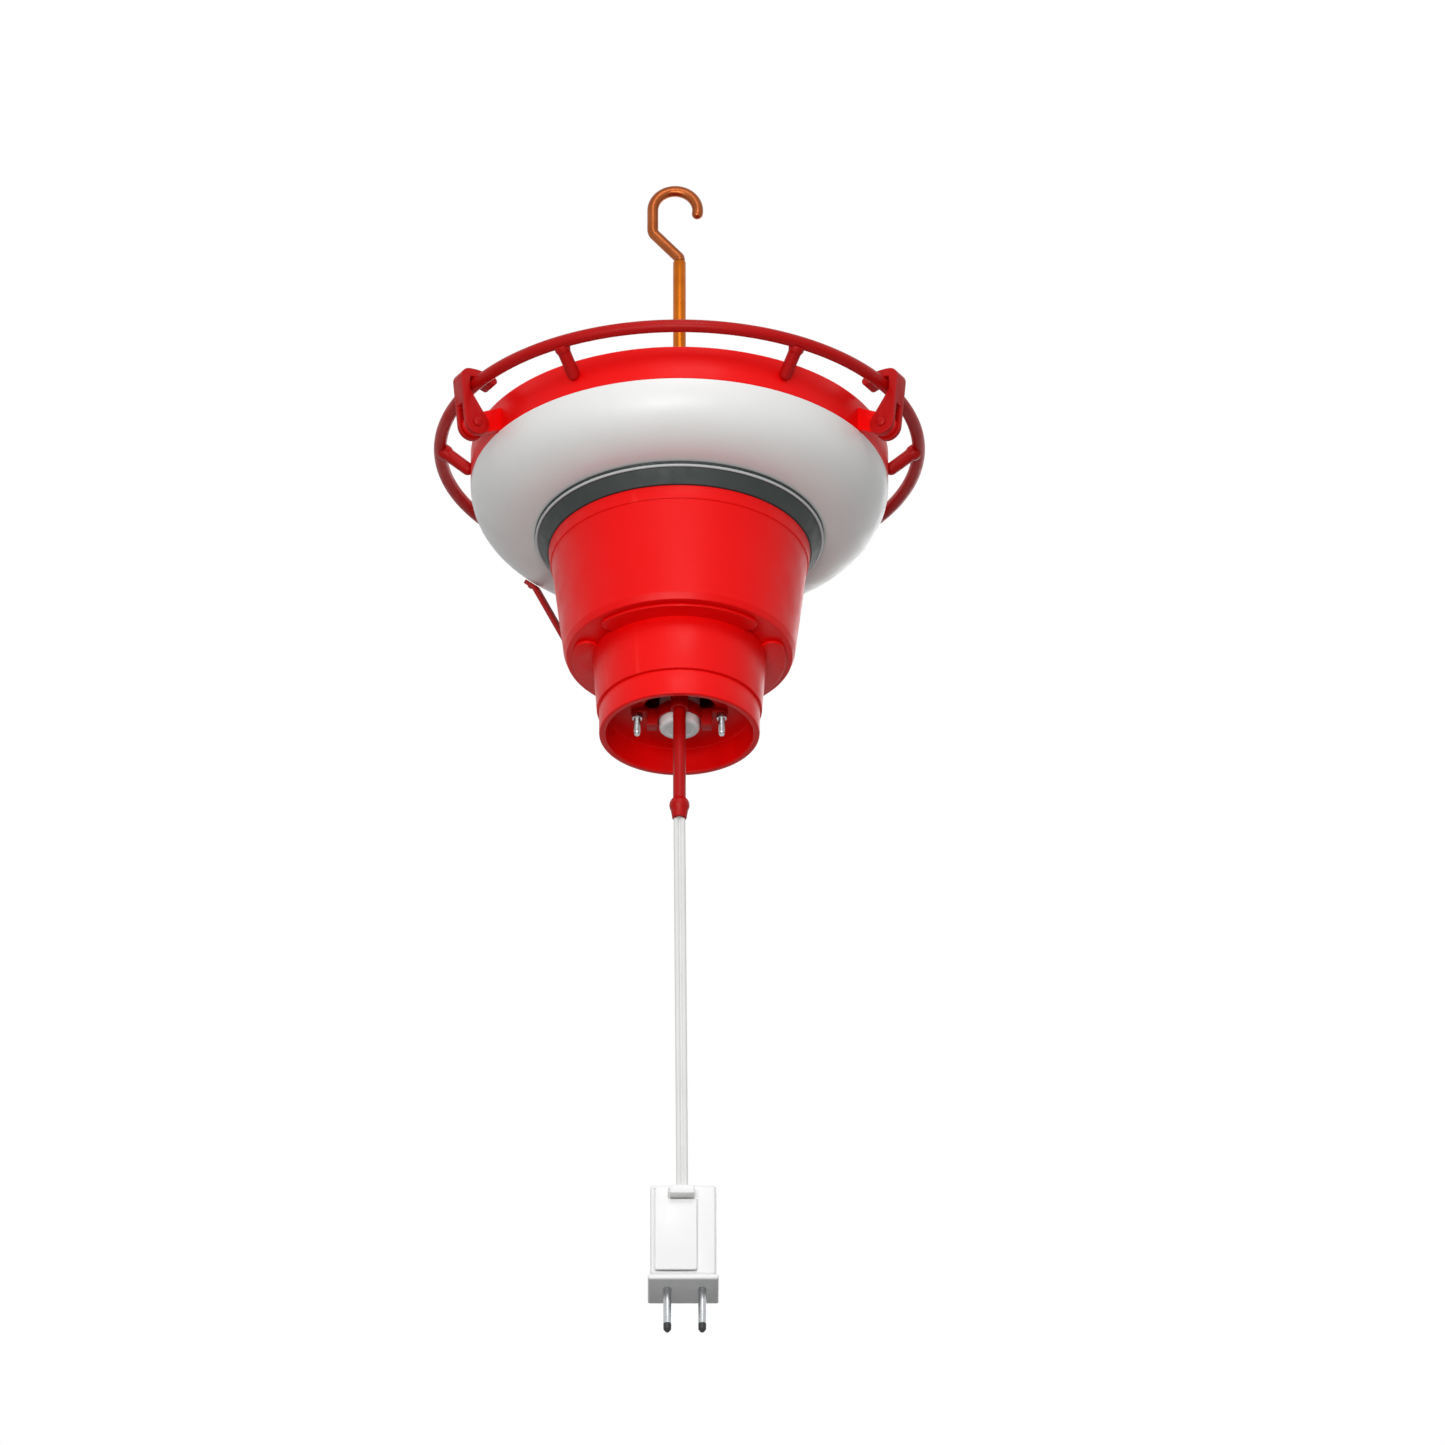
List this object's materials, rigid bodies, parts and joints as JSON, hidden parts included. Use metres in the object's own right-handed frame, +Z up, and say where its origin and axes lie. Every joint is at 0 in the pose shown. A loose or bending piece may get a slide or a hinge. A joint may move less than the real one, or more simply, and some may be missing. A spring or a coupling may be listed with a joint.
{
  "type": "gravity poultry feeder",
  "caption": "Hanging poultry feeder with a swivel hook, a latched guard ring, a flared bowl, a tapered hopper, and a motor pod in the outlet on a mains lead.",
  "frame": {"origin": "the point inside the hook's crown, on the feeder's axis, that bears on what the feeder hangs from", "axes": "+Z up along the feeder's axis; -Y is the front that the picture shows; +X is the picture's right"},
  "size_m": [0.267, 0.2725, 0.727],
  "materials": {
    "copper_wire": "satin bent wire with a copper tone",
    "brass_rod": "satin",
    "red_plastic": "semi-gloss moulded",
    "white_plastic": "semi-gloss moulded",
    "black_rubber": "matte",
    "pale_ring": "matte",
    "steel": "satin",
    "nylon": "matte",
    "motor_steel": "satin",
    "white_flex": "soft flex"
  },
  "bodies": {
    "hanger": {"hook": "copper_wire", "hanger_rod": "brass_rod", "swivel_washer": "steel", "swivel_nut": "steel"},
    "feeder": {"guard_ring": "red_plastic", "guard_post_1": "red_plastic", "guard_post_2": "red_plastic", "guard_post_3": "red_plastic", "guard_post_4": "red_plastic", "guard_post_5": "red_plastic", "guard_post_6": "red_plastic", "rim_band": "red_plastic", "latch_pin_1": "red_plastic", "latch_pin_2": "red_plastic", "latch_pin_3": "red_plastic", "hopper_body": "red_plastic", "side_stay": "red_plastic", "neck": "red_plastic", "neck_lock_ring": "red_plastic", "feed_funnel": "red_plastic", "outlet_cap": "red_plastic", "pod_bracket": "red_plastic", "conduit_tube": "red_plastic", "strain_relief": "red_plastic", "bowl": "white_plastic", "pod_housing": "white_plastic", "pod_cover": "white_plastic", "cord_grip": "white_plastic", "adapter_case": "white_plastic", "adapter_front_panel": "white_plastic", "adapter_base": "white_plastic", "gasket": "black_rubber", "shaft_seal": "black_rubber", "gasket_ring": "pale_ring", "spider_screw_1": "steel", "spider_screw_2": "steel", "spider_screw_3": "steel", "bracket_screw_1": "steel", "bracket_screw_2": "steel", "plug_pin_1": "steel", "plug_pin_2": "steel", "hanger_spider": "nylon", "swivel_bush": "nylon", "gear_motor": "motor_steel", "inner_lead": "white_flex", "power_cord": "white_flex"},
    "lid": {"lid": "red_plastic", "lid_grommet": "black_rubber"},
    "agitator": {"agitator_shaft": "steel", "agitator": "nylon"},
    "latch_arm_1": {"latch_1": "red_plastic"},
    "latch_arm_2": {"latch_2": "red_plastic"},
    "latch_arm_3": {"latch_3": "red_plastic"}
  },
  "joints": [
    {"name": "feeder_swivel", "type": "hinge", "parent": "hanger", "child": "feeder", "pos_m": [0, 0, -0.178], "axis": [0, 0, 1], "continuous": true},
    {"name": "lid_lift", "type": "slide", "parent": "feeder", "child": "lid", "axis": [0, 0, 1], "range_m": [0, 0.06]},
    {"name": "latch_1_swing", "type": "hinge", "parent": "feeder", "child": "latch_arm_1", "pos_m": [0, 0.1294, -0.184], "axis": [-1, 0, 0], "range_deg": [0, 110]},
    {"name": "latch_2_swing", "type": "hinge", "parent": "feeder", "child": "latch_arm_2", "pos_m": [-0.11206, -0.0647, -0.184], "axis": [0.5, -0.866, 0], "range_deg": [0, 110]},
    {"name": "latch_3_swing", "type": "hinge", "parent": "feeder", "child": "latch_arm_3", "pos_m": [0.11206, -0.0647, -0.184], "axis": [0.5, 0.866, 0], "range_deg": [0, 110]},
    {"name": "agitator_spin", "type": "hinge", "parent": "feeder", "child": "agitator", "pos_m": [0, 0, -0.278], "axis": [0, 0, 1], "continuous": true}
  ]
}
